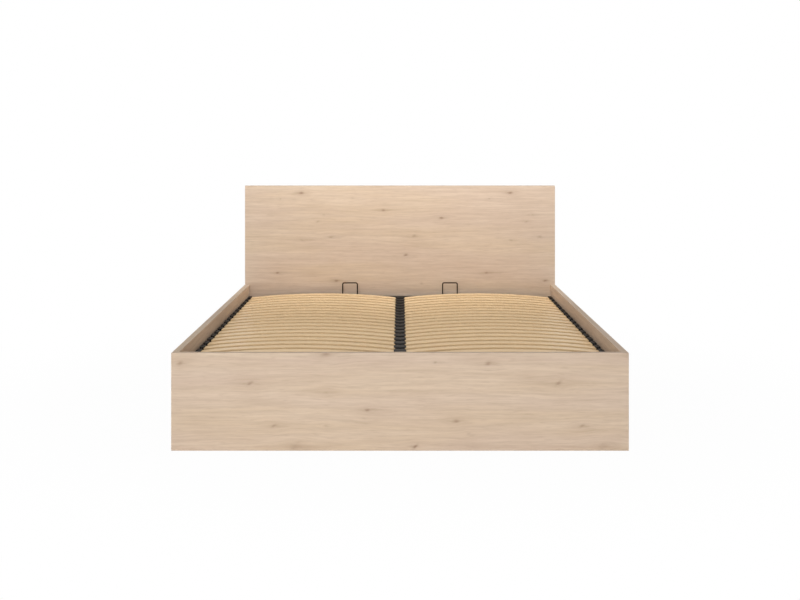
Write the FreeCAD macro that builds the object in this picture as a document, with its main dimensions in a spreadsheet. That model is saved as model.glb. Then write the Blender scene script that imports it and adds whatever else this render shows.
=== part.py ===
import FreeCAD, Part
import math
import os
import Sketcher

# Lift-up storage bed for a 1600 x 2000 mattress: four laminated boards round a compartment, and over it
# a steel frame with sprung slats that two pairs of arms and two gas springs lift at the foot end.
# +X is the right side seen from the foot, +Y points to the headboard, and the floor is at z = 0.
# "from_head" sizes are counted from the headboard's front face towards the foot.

document = FreeCAD.newDocument("storage_bed")
sheet = document.addObject("Spreadsheet::Sheet", "sizes")

SIZES = {
    # boards
    "inner_width": 1610,
    "inner_length": 2002,
    "board_thick": 25,
    "rail_height": 355,
    "headboard_height": 884,
    "edge_round": 1.5,
    # storage floor
    "bearer_width": 20,
    "bearer_height": 26,
    "floor_thick": 6,
    "floor_gap": 0.5,
    "joint_gap": 0.3,
    # corner brackets and screws
    "bracket_leg": 40,
    "bracket_thick": 3,
    "bracket_height": 100,
    "bracket_from_floor": 110,
    "bracket_hole_inset": 12,
    "bracket_bend": 4,
    "screw_radius": 2,
    "screw_depth": 18,
    "screw_head_radius": 4.5,
    "screw_head_thick": 2.4,
    "screw_clearance": 0.2,
    "cut_overrun": 1,
    "pick_margin": 0.01,
    # rests for the lift frame
    "rest_width": 22,
    "rest_height": 32,
    "rest_from_head": 900,
    "rest_from_foot": 42,
    "rest_screw_inset": 60,
    "rest_edge_round": 2,
    "buffer_radius": 8,
    "buffer_thick": 3,
    "buffer_inset": 110,
    # lift frame tubes
    "frame_gap": 5,
    "frame_end_gap": 15,
    "tube_bottom": 248,
    "side_tube": 30,
    "centre_tube": 40,
    "tube_wall": 1.5,
    "tube_round": 3,
    "cross_tube_places": 3,
    "plug_depth": 15,
    "plug_flange": 3,
    "plug_lip": 1,
    # slats
    "slat_rows": 21,
    "slat_row_margin": 77,
    "slat_width": 53,
    "slat_thick": 8,
    "slat_rise": 22,
    "slat_inner_end": 10,
    "slat_side_gap": 8,
    "slat_round": 1.5,
    # slat holders
    "holder_length": 62,
    "holder_foot": 5.7,
    "holder_height": 20,
    "holder_roof": 4.2,
    "holder_web": 18,
    "holder_play": 0.3,
    "centre_holder_lip": 24,
    "side_holder_reach": 23,
    "holder_round": 3,
    # mattress stops
    "stop_from_centre": 266,
    "stop_width": 78,
    "stop_rail_width": 20,
    "stop_rail_height": 19,
    "stop_rail_end": 25,
    "stop_rise": 70,
    "stop_rod_radius": 3,
    "stop_bend": 8,
    "bush_flange_radius": 7,
    "bush_flange_thick": 2,
    "bush_radius": 5.5,
    "bush_depth": 10,
    "fit_gap": 0.05,
    # lift mechanism, seen from the side
    "rear_arm_root_from_head": 640,
    "rear_arm_root_height": 124,
    "rear_arm_tip_from_head": 345,
    "rear_arm_tip_drop": 19,
    "front_arm_root_height": 90,
    "front_arm_tip_from_head": 425,
    "front_arm_tip_drop": 47,
    "arm_turn": 62,
    "frame_tilt": 40,
    "spring_root_from_head": 582,
    "spring_root_height": 75,
    "spring_tip_from_head": 381,
    "spring_tip_drop": 42,
    # lift mechanism, layers from the side rail inwards
    "plate_thick": 3,
    "arm_gap": 0.5,
    "arm_thick": 4,
    "arm_width": 28,
    "bar_gap": 0.3,
    "bar_thick": 3.5,
    "front_arm_gap": 1.7,
    "flange_thick": 3,
    "flange_width": 25,
    "pivot_radius": 5,
    "pivot_head_radius": 9,
    "pivot_head_thick": 2.7,
    "spacer_radius": 10,
    "plate_round": 10,
    "plate_hole_radius": 3.2,
    "bolt_radius": 3,
    "bolt_head_radius": 5.5,
    "bolt_head_thick": 3.2,
    "bolt_depth": 16,
    "bar_bolt_depth": 9,
    # gas springs
    "spring_radius": 11,
    "spring_rod_radius": 5,
    "spring_axis_gap": 29,
    "socket_radius": 9,
    "socket_thick": 10,
    "socket_neck": 20,
    "socket_neck_radius": 6,
    "stud_radius": 4,
    "stud_shoulder_radius": 7,
    "stud_head_radius": 6,
    "stud_head_thick": 2,
}
for row, (alias, number) in enumerate(SIZES.items(), start=1):
    sheet.set(f"A{row}", alias)
    sheet.set(f"B{row}", str(number))
    sheet.setAlias(f"B{row}", alias)
document.recompute()


class Size:
    """A length with its number and the formula that the document keeps for it."""

    def __init__(self, number, formula):
        self.number = float(number)
        self.formula = formula

    def join(self, other, sign, number, turned=False):
        left, right = (str(other), self.formula) if turned else (self.formula, str(other))
        if isinstance(other, Size):
            right = other.formula
        return Size(number, f"({left} {sign} {right})")

    def __add__(self, other):
        return self.join(other, "+", self.number + float(other))

    def __radd__(self, other):
        return self.join(other, "+", float(other) + self.number, turned=True)

    def __sub__(self, other):
        return self.join(other, "-", self.number - float(other))

    def __rsub__(self, other):
        return self.join(other, "-", float(other) - self.number, turned=True)

    def __mul__(self, other):
        return self.join(other, "*", self.number * float(other))

    def __truediv__(self, other):
        return self.join(other, "/", self.number / float(other))

    def __neg__(self):
        return Size(-self.number, f"(0 - {self.formula})")

    def __float__(self):
        return self.number


class Sheet:
    """Reads a named size from the spreadsheet."""

    def __getattr__(self, alias):
        return Size(sheet.get(alias), f"sizes.{alias}")


s = Sheet()
V = FreeCAD.Vector
ZERO = Size(0, "0")
UP = V(0, 0, 1)
ACROSS = V(1, 0, 0)
PARALLEL_SHARE = 0.999

halfWidth = s.inner_width / 2
headFace = s.inner_length / 2
tubeTop = s.tube_bottom + s.side_tube
frameSide = halfWidth - s.frame_gap
frameEnd = headFace - s.frame_end_gap
endTubeInner = frameEnd - s.side_tube
slatPitch = (s.inner_length - s.slat_row_margin * 2) / (s.slat_rows - 1)
slatOuterEnd = halfWidth - s.slat_side_gap
rearArmTipHeight = s.tube_bottom - s.rear_arm_tip_drop
frontArmTipHeight = s.tube_bottom - s.front_arm_tip_drop
springTipHeight = s.tube_bottom - s.spring_tip_drop


def bind(thing, path, size):
    """Sets a property to a size's number and keeps its formula."""
    thing.setExpression(path, size.formula)


def signed(size, side):
    return size if side > 0 else -size


def new_body(label):
    body = document.addObject("PartDesign::Body", label)
    body.Label = label
    return body


def origin_plane(body, role):
    return next(item for item in body.Origin.OriginFeatures if item.Role == role)


def new_sketch(body, name, role, level=ZERO):
    """A sketch parallel to one of the body's planes. Its own z points to +X, -Y or +Z."""
    sketch = body.newObject("Sketcher::SketchObject", f"{body.Name}_{name}")
    sketch.AttachmentSupport = [(origin_plane(body, role), "")]
    sketch.MapMode = "FlatFace"
    bind(sketch, "AttachmentOffset.Base.z", -level if role == "XZ_Plane" else level)
    return sketch


def pin_point(sketch, geometry, end, place):
    """Holds a point of the sketch at its two sizes."""
    for kind, size in zip(("DistanceX", "DistanceY"), place):
        index = sketch.addConstraint(Sketcher.Constraint(kind, -1, 1, geometry, end, size.number))
        sketch.setExpression(f"Constraints[{index}]", size.formula)


def add_polygon(sketch, corners):
    first = sketch.GeometryCount
    count = len(corners)
    for start, end in zip(corners, corners[1:] + corners[:1]):
        line = Part.LineSegment(V(*map(float, start), 0), V(*map(float, end), 0))
        sketch.addGeometry(line, False)
    for k, corner in enumerate(corners):
        before = first + (k - 1) % count
        sketch.addConstraint(Sketcher.Constraint("Coincident", before, 2, first + k, 1))
        pin_point(sketch, first + k, 1, corner)


def add_rectangle(sketch, low, high):
    add_polygon(sketch, [low, (high[0], low[1]), high, (low[0], high[1])])


def add_circle(sketch, centre, radius):
    circle = Part.Circle(V(float(centre[0]), float(centre[1]), 0), UP, radius.number)
    index = sketch.addGeometry(circle, False)
    pin_point(sketch, index, 3, centre)
    datum = sketch.addConstraint(Sketcher.Constraint("Radius", index, radius.number))
    sketch.setExpression(f"Constraints[{datum}]", radius.formula)


def add_slot(sketch, length, radius):
    """A strap outline round the origin and a second centre along the sketch's own x."""
    r = radius.number
    span = length.number
    near = Part.ArcOfCircle(Part.Circle(V(0, 0, 0), UP, r), math.pi / 2, 3 * math.pi / 2)
    far = Part.ArcOfCircle(Part.Circle(V(span, 0, 0), UP, r), -math.pi / 2, math.pi / 2)
    a = sketch.addGeometry(near, False)
    b = sketch.addGeometry(far, False)
    low = sketch.addGeometry(Part.LineSegment(V(0, -r, 0), V(span, -r, 0)), False)
    high = sketch.addGeometry(Part.LineSegment(V(span, r, 0), V(0, r, 0)), False)
    for first, end, second, start in ((a, 2, low, 1), (low, 2, b, 1), (b, 2, high, 1), (high, 2, a, 1)):
        sketch.addConstraint(Sketcher.Constraint("Tangent", first, end, second, start))
    pin_point(sketch, a, 3, (ZERO, ZERO))
    pin_point(sketch, b, 3, (length, ZERO))
    datum = sketch.addConstraint(Sketcher.Constraint("Radius", a, r))
    sketch.setExpression(f"Constraints[{datum}]", radius.formula)


def add_pad(body, sketch, length):
    pad = body.newObject("PartDesign::Pad", f"{sketch.Name}_pad")
    pad.Profile = sketch
    bind(pad, "Length", length)
    sketch.Visibility = False
    return pad


def add_pocket(body, sketch, depth):
    """Cuts the sketch to the same depth on both sides of its plane."""
    pocket = body.newObject("PartDesign::Pocket", f"{sketch.Name}_pocket")
    pocket.Profile = sketch
    pocket.SideType = "Symmetric"
    bind(pocket, "Length", depth * 2)
    return pocket


def add_fillet(body, feature, radius, choose=None):
    """Rounds the feature's edges that choose picks, or all of them."""
    document.recompute()
    edges = feature.Shape.Edges
    names = [f"Edge{k}" for k, edge in enumerate(edges, start=1) if choose is None or choose(edge)]
    fillet = body.newObject("PartDesign::Fillet", f"{feature.Name}_round")
    fillet.Base = (feature, names)
    bind(fillet, "Radius", radius)
    return fillet


def along(axis):
    """Picks the straight edges that run along an axis."""

    def choose(edge):
        if edge.Curve.TypeId != "Part::GeomLine":
            return False
        return abs(edge.Curve.Direction.dot(axis)) > PARALLEL_SHARE

    return choose


def add_mirror(body, features, role="YZ_Plane"):
    mirror = body.newObject("PartDesign::Mirrored", f"{body.Name}_mirror")
    mirror.Originals = features
    mirror.MirrorPlane = (origin_plane(body, role), [""])
    body.Tip = mirror
    return mirror


def mirrored(source, label):
    """The left-hand twin of a right-hand piece."""
    twin = document.addObject("Part::Mirroring", label)
    twin.Source = source
    twin.Normal = ACROSS
    twin.Label = label
    return twin


def group(label, members):
    compound = document.addObject("Part::Compound", label)
    compound.Links = members
    compound.Label = label
    return compound


def placed_group(label, pairs):
    """One group from pairs of a source and a placement."""
    document.recompute()
    copies = [source.Shape.transformed(place.toMatrix(), copy=True) for source, place in pairs]
    feature = document.addObject("Part::Feature", label)
    feature.Label = label
    feature.Shape = Part.makeCompound(copies)
    feature.Placement = FreeCAD.Placement()
    return feature


def placed_copies(label, source, placements):
    """Identical pieces in one group, each a copy of the source at its own place."""
    return placed_group(label, [(source, place) for place in placements])


def facing(place, direction):
    """A placement whose own z points along a direction."""
    return FreeCAD.Placement(V(*map(float, place)), FreeCAD.Rotation(UP, direction))


nodes = []


def keep(*pieces):
    nodes.extend(pieces)


# Pivots of the lift. Both arms turn the foot end of the frame up; the lower arm's root is where its tip
# keeps one distance at both ends of the travel.
def side_place(fromHead, height):
    return V(0, (headFace - fromHead).number, height.number)


def turned_about(point, centre, degrees):
    """Turns a point about a pivot; positive lifts what points to the headboard."""
    return centre + FreeCAD.Rotation(ACROSS, degrees).multVec(point - centre)


rearRoot = side_place(s.rear_arm_root_from_head, s.rear_arm_root_height)
rearTip = side_place(s.rear_arm_tip_from_head, rearArmTipHeight)
frontTip = side_place(s.front_arm_tip_from_head, frontArmTipHeight)
springRoot = side_place(s.spring_root_from_head, s.spring_root_height)
springTip = side_place(s.spring_tip_from_head, springTipHeight)
armTurn = s.arm_turn.number
frameTilt = s.frame_tilt.number
raisedRearTip = turned_about(rearTip, rearRoot, armTurn)


def raised(point):
    """Where a point of the lift frame is when the frame is up."""
    return turned_about(point + raisedRearTip - rearTip, raisedRearTip, -frameTilt)


raisedFrontTip = raised(frontTip)
raisedSpringTip = raised(springTip)
chord = raisedFrontTip - frontTip
middle = (raisedFrontTip + frontTip) / 2
rootHeight = s.front_arm_root_height.number
frontRoot = V(0, middle.y - chord.z * (rootHeight - middle.z) / chord.y, rootHeight)


def angle_of(vector):
    return math.degrees(math.atan2(vector.z, vector.y))


frontTurn = angle_of(raisedFrontTip - frontRoot) - angle_of(frontTip - frontRoot)
springTurn = angle_of(raisedSpringTip - springRoot) - angle_of(springTip - springRoot)
closedLength = (springTip - springRoot).Length
openLength = (raisedSpringTip - springRoot).Length

workedOut = {
    "front_arm_root_y": frontRoot.y,
    "rear_arm_length": (rearTip - rearRoot).Length,
    "front_arm_length": (frontTip - frontRoot).Length,
    "spring_closed_length": closedLength,
    "spring_open_length": openLength,
}
for row, (alias, number) in enumerate(workedOut.items(), start=len(SIZES) + 1):
    sheet.set(f"A{row}", alias)
    sheet.set(f"B{row}", str(number))
    sheet.setAlias(f"B{row}", alias)
document.recompute()


# Boards. The head and foot boards run the full width and the rails stand between them.
def board(label, low, high, holes):
    """An upright board between two corners, with pilot holes in its inner face."""
    body = new_body(label)
    outline = new_sketch(body, "face", "XZ_Plane", high[1])
    add_rectangle(outline, (low[0], low[2]), (high[0], high[2]))
    pad = add_pad(body, outline, high[1] - low[1])
    add_fillet(body, pad, s.edge_round)
    for name, role, level, places, radius, depth in holes:
        sketch = new_sketch(body, name, role, level)
        for place in places:
            add_circle(sketch, place, radius)
        add_pocket(body, sketch, depth)
    return body


screwHole = s.screw_radius + s.screw_clearance
bracketHoleHeights = (
    s.bracket_from_floor + s.bracket_hole_inset,
    s.bracket_from_floor + s.bracket_height - s.bracket_hole_inset,
)
bracketHoleOut = s.bracket_leg - s.bracket_hole_inset
outerWidth = halfWidth + s.board_thick
outerLength = headFace + s.board_thick
endHoles = [
    (signed(halfWidth - bracketHoleOut, side), height)
    for side in (-1, 1)
    for height in bracketHoleHeights
]
headboard = board(
    "headboard",
    (-outerWidth, headFace, ZERO),
    (outerWidth, outerLength, s.headboard_height),
    [("bracket_holes", "XZ_Plane", headFace, endHoles, screwHole, s.screw_depth)],
)
footboard = board(
    "footboard",
    (-outerWidth, -outerLength, ZERO),
    (outerWidth, -headFace, s.rail_height),
    [("bracket_holes", "XZ_Plane", -headFace, endHoles, screwHole, s.screw_depth)],
)

# The lift plates bolt to the rails beside the arms' and springs' pivots.
springRootY = headFace - s.spring_root_from_head
rearRootY = headFace - s.rear_arm_root_from_head
secondBoltY = rearRootY - s.arm_width
plateBolts = [
    (springRootY + s.arm_width, s.spring_root_height + s.plate_round),
    (secondBoltY, s.spring_root_height),
    ((secondBoltY + s.front_arm_root_y) / 2, s.front_arm_root_height),
    (s.front_arm_root_y - s.arm_width, s.front_arm_root_height),
]
sideHoles = [
    (signed(headFace - bracketHoleOut, end), height) for end in (-1, 1) for height in bracketHoleHeights
]
restStart = headFace - s.rest_from_head
restEnd = -headFace + s.rest_from_foot
restTop = s.tube_bottom - s.buffer_thick
restMiddle = restTop - s.rest_height / 2
restHoles = [
    (restStart - s.rest_screw_inset, restMiddle),
    ((restStart + restEnd) / 2, restMiddle),
    (restEnd + s.rest_screw_inset, restMiddle),
]
rightRail = board(
    "side_rail_right",
    (halfWidth, -headFace, ZERO),
    (outerWidth, headFace, s.rail_height),
    [
        ("bracket_holes", "YZ_Plane", halfWidth, sideHoles, screwHole, s.screw_depth),
        ("rest_holes", "YZ_Plane", halfWidth, restHoles, screwHole, s.screw_depth),
        ("plate_holes", "YZ_Plane", halfWidth, plateBolts, s.plate_hole_radius, s.bolt_depth),
    ],
)
keep(headboard, footboard, rightRail, mirrored(rightRail, "side_rail_left"))


# Storage floor: three bearers stand on the floor and carry two sheets.
def bar_between(label, low, high):
    body = new_body(label)
    outline = new_sketch(body, "section", "XZ_Plane", high[1])
    add_rectangle(outline, (low[0], low[2]), (high[0], high[2]))
    add_pad(body, outline, high[1] - low[1])
    return body


bearerEnd = headFace - s.joint_gap
sideBearer = bar_between(
    "floor_bearer_side",
    (halfWidth - s.bearer_width, -bearerEnd, ZERO),
    (halfWidth, bearerEnd, s.bearer_height),
)
centreBearer = bar_between(
    "floor_bearer_centre",
    (-s.bearer_width / 2, -bearerEnd, ZERO),
    (s.bearer_width / 2, bearerEnd, s.bearer_height),
)
floorBearers = group(
    "floor_bearers", [sideBearer, centreBearer, mirrored(sideBearer, "floor_bearer_twin")]
)
floorEnd = headFace - s.floor_gap
rightFloor = bar_between(
    "storage_floor_right",
    (s.floor_gap, -floorEnd, s.bearer_height),
    (halfWidth - s.floor_gap, floorEnd, s.bearer_height + s.floor_thick),
)
keep(floorBearers, rightFloor, mirrored(rightFloor, "storage_floor_left"))


# Corner brackets: folded steel angles, two holes in each leg.
def corner_bracket():
    body = new_body("corner_bracket")
    outline = new_sketch(body, "angle", "XY_Plane", s.bracket_from_floor)
    legX = halfWidth - s.bracket_leg
    legY = headFace - s.bracket_leg
    innerX = halfWidth - s.bracket_thick
    innerY = headFace - s.bracket_thick
    add_polygon(
        outline,
        [
            (halfWidth, headFace),
            (legX, headFace),
            (legX, innerY),
            (innerX, innerY),
            (innerX, legY),
            (halfWidth, legY),
        ],
    )
    pad = add_pad(body, outline, s.bracket_height)

    def fold(edge):
        middle = edge.CenterOfMass
        offset = V(middle.x - innerX.number, middle.y - innerY.number, 0)
        return along(UP)(edge) and offset.Length < s.pick_margin.number

    add_fillet(body, pad, s.bracket_bend, fold)
    for name, role, level, places in (
        ("end_holes", "XZ_Plane", headFace, [place for place in endHoles if place[0].number > 0]),
        ("side_holes", "YZ_Plane", halfWidth, [place for place in sideHoles if place[0].number > 0]),
    ):
        sketch = new_sketch(body, name, role, level)
        for place in places:
            add_circle(sketch, place, screwHole)
        add_pocket(body, sketch, s.bracket_thick + s.cut_overrun)
    return body


bracket = corner_bracket()
bracketTwin = mirrored(bracket, "corner_bracket_twin")
footBrackets = []
for source in (bracket, bracketTwin):
    foot = document.addObject("Part::Mirroring", f"{source.Name}_foot")
    foot.Source = source
    foot.Normal = V(0, 1, 0)
    footBrackets.append(foot)
keep(group("corner_brackets", [bracket, bracketTwin] + footBrackets))


# Battens on the rails carry the closed lift frame on rubber buffers.
def rest_batten():
    body = bar_between(
        "rest_batten",
        (halfWidth - s.rest_width, restEnd, restTop - s.rest_height),
        (halfWidth, restStart, restTop),
    )
    add_fillet(body, body.Tip, s.rest_edge_round, along(V(0, 1, 0)))
    sketch = new_sketch(body, "holes", "YZ_Plane", halfWidth)
    for place in restHoles:
        add_circle(sketch, place, screwHole)
    add_pocket(body, sketch, s.rest_width + s.cut_overrun)
    return body


batten = rest_batten()
keep(group("rest_battens", [batten, mirrored(batten, "rest_batten_twin")]))


# Fasteners and other turned pieces stand on their own z axis, the head from z = 0 upwards.
def turned(label, outline):
    """A piece revolved about its own z axis from a half section of (radius, height) corners."""
    body = new_body(label)
    sketch = new_sketch(body, "section", "XZ_Plane")
    add_polygon(sketch, outline)
    turn = body.newObject("PartDesign::Revolution", f"{label}_turn")
    turn.Profile = sketch
    turn.ReferenceAxis = (sketch, ["V_Axis"])
    turn.Angle = 360
    return body


def screw(label, radius, depth, headRadius, headThick):
    crown = headRadius / 2
    return turned(
        label,
        [
            (ZERO, -depth),
            (radius, -depth),
            (radius, ZERO),
            (headRadius, ZERO),
            (headRadius, headThick / 2),
            (crown, headThick),
            (ZERO, headThick),
        ],
    )


woodScrew = screw("wood_screw", s.screw_radius, s.screw_depth, s.screw_head_radius, s.screw_head_thick)
screwPlaces = []
for side in (-1, 1):
    inward = V(-side, 0, 0)
    for y, z in sideHoles:
        screwPlaces.append(facing((signed(halfWidth - s.bracket_thick, side), y, z), inward))
    for y, z in restHoles:
        screwPlaces.append(facing((signed(halfWidth - s.rest_width, side), y, z), inward))
for end in (-1, 1):
    for x, z in endHoles:
        screwPlaces.append(facing((x, signed(headFace - s.bracket_thick, end), z), V(0, -end, 0)))
keep(placed_copies("wood_screws", woodScrew, screwPlaces))

bufferThick = s.buffer_thick - s.joint_gap
rubberBuffer = turned(
    "rest_buffer",
    [
        (ZERO, ZERO),
        (s.buffer_radius, ZERO),
        (s.buffer_radius, bufferThick / 2),
        (s.buffer_radius - bufferThick / 2, bufferThick),
        (ZERO, bufferThick),
    ],
)
bufferX = frameSide - s.side_tube / 3
bufferRows = (
    restStart - s.buffer_inset,
    (restStart + restEnd + s.buffer_inset) / 2,
    restEnd + s.buffer_inset,
)
bufferPlaces = [
    facing((signed(bufferX, side), y, restTop), UP) for side in (-1, 1) for y in bufferRows
]
keep(placed_copies("rest_buffers", rubberBuffer, bufferPlaces))


# Lift frame: welded rectangular tubes. The end tubes run the full width, the rest butt against them.
def add_hollow(body, name, role, level, length, low, high):
    """A square-edged hollow section between two corners of its sketch plane."""
    section = new_sketch(body, name, role, level)
    wall = s.tube_wall
    add_rectangle(section, low, high)
    add_rectangle(section, (low[0] + wall, low[1] + wall), (high[0] - wall, high[1] - wall))
    return add_pad(body, section, length)


def round_tube(body, pad, role, low, high):
    """Rounds the long edges of a hollow section, outside and inside."""
    axis, across = (V(0, 1, 0), ACROSS) if role == "XZ_Plane" else (ACROSS, V(0, 1, 0))

    def at_corners(offset):
        """Picks the tube's long edges at the corners of one of its two rectangles."""
        places = [
            (float(x), float(z))
            for x in (low[0] + offset, high[0] - offset)
            for z in (low[1] + offset, high[1] - offset)
        ]

        def choose(edge):
            centre = edge.CenterOfMass
            gaps = [math.hypot(centre.dot(across) - x, centre.z - z) for x, z in places]
            return along(axis)(edge) and min(gaps) < s.pick_margin.number

        return choose

    outer = add_fillet(body, pad, s.tube_round, at_corners(ZERO))
    add_fillet(body, outer, s.tube_round - s.tube_wall, at_corners(s.tube_wall))


def tube_along_y(label, x, width, start, end):
    body = new_body(label)
    low, high = (x - width / 2, s.tube_bottom), (x + width / 2, tubeTop)
    pad = add_hollow(body, "section", "XZ_Plane", end, end - start, low, high)
    round_tube(body, pad, "XZ_Plane", low, high)
    return body


def tube_along_x(label, y, start, end):
    body = new_body(label)
    half = s.side_tube / 2
    low, high = (y - half, s.tube_bottom), (y + half, tubeTop)
    pad = add_hollow(body, "section", "YZ_Plane", start, end - start, low, high)
    round_tube(body, pad, "YZ_Plane", low, high)
    return body


# The frame bars bolt to the side tubes from below.
barBack = s.rear_arm_tip_from_head - s.arm_width
barFront = s.rear_arm_root_from_head
barBolts = [
    headFace - barBack - s.plate_round,
    headFace - (barBack + barFront) / 2 - s.arm_width / 2,
    headFace - barFront + s.plate_round * 2,
]
railFace = halfWidth
plateFace = railFace - s.plate_thick
rearArmOuter = plateFace - s.arm_gap
rearArmInner = rearArmOuter - s.arm_thick
barOuter = rearArmInner - s.bar_gap
barInner = barOuter - s.bar_thick
frontArmOuter = barInner - s.front_arm_gap
springAxis = halfWidth - s.spring_axis_gap
barBoltX = barOuter - s.flange_width / 2 - s.bar_thick

sideTubeX = frameSide - s.side_tube / 2
rightTube = tube_along_y("frame_tube_right", sideTubeX, s.side_tube, -endTubeInner, endTubeInner)
boltHoles = new_sketch(rightTube, "bolt_holes", "XY_Plane", s.tube_bottom)
for y in barBolts:
    add_circle(boltHoles, (barBoltX, y), s.plate_hole_radius)
add_pocket(rightTube, boltHoles, s.tube_wall + s.cut_overrun)

stopY = frameEnd - s.side_tube / 2
footTube = tube_along_x("foot_tube", -stopY, -frameSide, frameSide)

# A short raised rail on the head tube carries the mattress stops.
headTube = tube_along_x("head_tube", stopY, -frameSide, frameSide)
stopRailTop = tubeTop + s.stop_rail_height
stopRailHalf = s.stop_from_centre + s.stop_width / 2 + s.stop_rail_end
stopRailLow = (stopY - s.stop_rail_width / 2, tubeTop)
stopRailHigh = (stopY + s.stop_rail_width / 2, stopRailTop)
stopRail = add_hollow(
    headTube, "stop_rail", "YZ_Plane", -stopRailHalf, stopRailHalf * 2, stopRailLow, stopRailHigh
)


def rail_top(edge):
    return along(ACROSS)(edge) and edge.BoundBox.ZMin > (stopRailTop - s.pick_margin).number


add_fillet(headTube, stopRail, s.tube_wall, rail_top)
stopLegs = [
    signed(s.stop_from_centre + signed(s.stop_width / 2, leg), side)
    for side in (-1, 1)
    for leg in (-1, 1)
]
bushHoles = new_sketch(headTube, "bush_holes", "XY_Plane", stopRailTop)
for x in stopLegs:
    add_circle(bushHoles, (x, stopY), s.bush_radius + s.fit_gap)
add_pocket(headTube, bushHoles, s.tube_wall + s.cut_overrun)
centreBeam = tube_along_y("centre_beam", ZERO, s.centre_tube, -endTubeInner, endTubeInner)
keep(mirrored(rightTube, "frame_tube_left"), rightTube, headTube, footTube, centreBeam)

crossTubes = []
for k in range(int(s.cross_tube_places.number)):
    rowsFromMiddle = (k - (s.cross_tube_places.number - 1) / 2) * math.ceil(
        s.slat_rows.number / (s.cross_tube_places.number + 1)
    )
    tube = tube_along_x(
        f"cross_tube_{k + 1}",
        slatPitch * rowsFromMiddle,
        s.centre_tube / 2,
        frameSide - s.side_tube,
    )
    crossTubes += [tube, mirrored(tube, f"cross_tube_twin_{k + 1}")]
keep(group("cross_tubes", crossTubes))


def end_plug():
    """A ribbed plastic plug for an end tube: a flange outside and a hollow core inside the wall."""
    body = new_body("tube_plug")
    half = s.side_tube / 2
    inner = half - s.tube_wall - s.fit_gap
    coreLow = s.tube_bottom + s.tube_wall + s.fit_gap
    coreHigh = tubeTop - s.tube_wall - s.fit_gap
    flange = new_sketch(body, "flange", "YZ_Plane", frameSide)
    add_rectangle(flange, (stopY - half, s.tube_bottom), (stopY + half, tubeTop))
    pad = add_pad(body, flange, s.plug_flange)
    outer = frameSide + s.plug_flange

    def rim(edge):
        return edge.BoundBox.XMin > (outer - s.pick_margin).number

    add_fillet(body, pad, s.plug_lip, rim)
    core = new_sketch(body, "core", "YZ_Plane", frameSide - s.plug_depth)
    chamfer = s.tube_round - s.tube_wall
    nearY, farY = stopY - inner, stopY + inner
    add_polygon(
        core,
        [
            (nearY + chamfer, coreLow),
            (farY - chamfer, coreLow),
            (farY, coreLow + chamfer),
            (farY, coreHigh - chamfer),
            (farY - chamfer, coreHigh),
            (nearY + chamfer, coreHigh),
            (nearY, coreHigh - chamfer),
            (nearY, coreLow + chamfer),
        ],
    )
    wall = s.tube_wall
    add_rectangle(core, (nearY + wall, coreLow + wall), (farY - wall, coreHigh - wall))
    add_pad(body, core, s.plug_depth)
    return body


plug = end_plug()
plugTwin = mirrored(plug, "tube_plug_twin")
footPlugs = []
for source in (plug, plugTwin):
    foot = document.addObject("Part::Mirroring", f"{source.Name}_foot")
    foot.Source = source
    foot.Normal = V(0, 1, 0)
    footPlugs.append(foot)
keep(group("tube_plugs", [plug, plugTwin] + footPlugs))

# Slats: laminated strips bent upwards, two to a row, from the centre beam to the side tubes.
slatBottom = tubeTop + s.holder_foot + s.holder_play
firstRow = -slatPitch * ((s.slat_rows.number - 1) / 2)
slatChord = slatOuterEnd - s.slat_inner_end
slatMiddle = (s.slat_inner_end + slatOuterEnd) / 2


def add_arch(sketch, bottom):
    """The slat's section: two like arcs, one above the other, and its cut ends."""
    radius = (slatChord * slatChord / 4 + s.slat_rise * s.slat_rise) / (s.slat_rise * 2)
    halfAngle = math.asin(slatChord.number / 2 / radius.number)
    arcs = []
    for level in (bottom, bottom + s.slat_thick):
        centre = V(slatMiddle.number, level.number + s.slat_rise.number - radius.number, 0)
        circle = Part.Circle(centre, UP, radius.number)
        arc = Part.ArcOfCircle(circle, math.pi / 2 - halfAngle, math.pi / 2 + halfAngle)
        index = sketch.addGeometry(arc, False)
        pin_point(sketch, index, 1, (slatOuterEnd, level))
        pin_point(sketch, index, 2, (s.slat_inner_end, level))
        datum = sketch.addConstraint(Sketcher.Constraint("Radius", index, radius.number))
        sketch.setExpression(f"Constraints[{datum}]", radius.formula)
        arcs.append(index)
    for x, arcEnd in ((slatOuterEnd, 1), (s.slat_inner_end, 2)):
        low, high = V(x.number, bottom.number, 0), V(x.number, (bottom + s.slat_thick).number, 0)
        line = sketch.addGeometry(Part.LineSegment(low, high), False)
        for lineEnd, arc in enumerate(arcs, start=1):
            sketch.addConstraint(Sketcher.Constraint("Coincident", line, lineEnd, arc, arcEnd))


for row in range(int(s.slat_rows.number)):
    slat = new_body(f"slat_row_{row + 1:02d}")
    section = new_sketch(slat, "arch", "XZ_Plane", s.slat_width / 2)
    add_arch(section, slatBottom)
    strip = add_pad(slat, section, s.slat_width)
    add_mirror(slat, [strip])
    bind(slat, "Placement.Base.y", firstRow + slatPitch * row)
    keep(slat)


# Slat holders: a foot on the tube, a pocket for the slat's end and a roof over it.
holderTop = tubeTop + s.holder_height
pocketLow = tubeTop + s.holder_foot
pocketHigh = holderTop - s.holder_roof
pocketHalf = s.slat_width / 2 + s.holder_play
holderHalf = s.holder_length / 2


def add_block(body, name, low, high):
    """A block whose length runs along Y, from low to high corner."""
    sketch = new_sketch(body, name, "XZ_Plane", high[1])
    add_rectangle(sketch, (low[0], low[2]), (high[0], high[2]))
    return add_pad(body, sketch, high[1] - low[1])


def cut_block(body, name, low, high):
    sketch = new_sketch(body, name, "YZ_Plane", (low[0] + high[0]) / 2)
    add_rectangle(sketch, (low[1], low[2]), (high[1], high[2]))
    return add_pocket(body, sketch, (high[0] - low[0]) / 2)


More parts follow.
